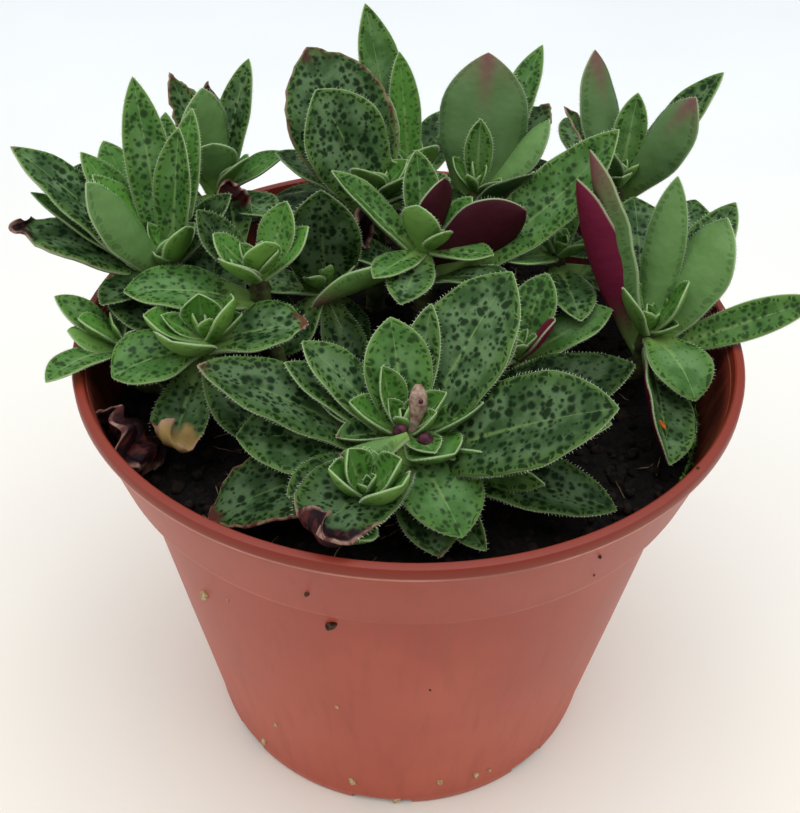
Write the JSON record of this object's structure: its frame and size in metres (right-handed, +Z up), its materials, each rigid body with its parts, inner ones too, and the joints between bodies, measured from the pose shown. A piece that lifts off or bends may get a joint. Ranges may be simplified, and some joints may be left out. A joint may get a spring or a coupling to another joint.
{
  "type": "potted jade tiger crassula",
  "caption": "Clump of leafy succulent rosettes with spotted, hairy-edged leaves, growing in a round terracotta-coloured plastic nursery pot.",
  "frame": {"origin": "middle of the flat disc in the pot's underside, at the level that the pot stands on", "axes": "+Z up along the pot's axis, the front of the plant towards -Y, +X to the viewer's right"},
  "size_m": [0.101, 0.085, 0.0946],
  "materials": {
    "pot_plastic": "terracotta-coloured thin moulded polypropylene, satin",
    "soil": "damp peat potting soil, matte, fibrous",
    "leaf": "fleshy succulent leaf with darker green spots and fine white marginal hairs",
    "dry_leaf": "shrivelled dry leaf, brown-red, matte"
  },
  "bodies": {
    "root": {"pot": "pot_plastic", "soil": "soil", "dead_leaf": "dry_leaf", "rosette_front": "leaf", "rosette_middle": "leaf", "rosette_inner": "leaf", "rosette_centre": "leaf", "rosette_right": "leaf", "rosette_back_right": "leaf", "rosette_behind": "leaf", "rosette_back": "leaf", "rosette_back_middle": "leaf", "rosette_back_left": "leaf", "rosette_far_left": "leaf", "rosette_left": "leaf", "rosette_low_left": "leaf", "rosette_cup": "leaf", "rosette_bud": "leaf"}
  },
  "joints": []
}
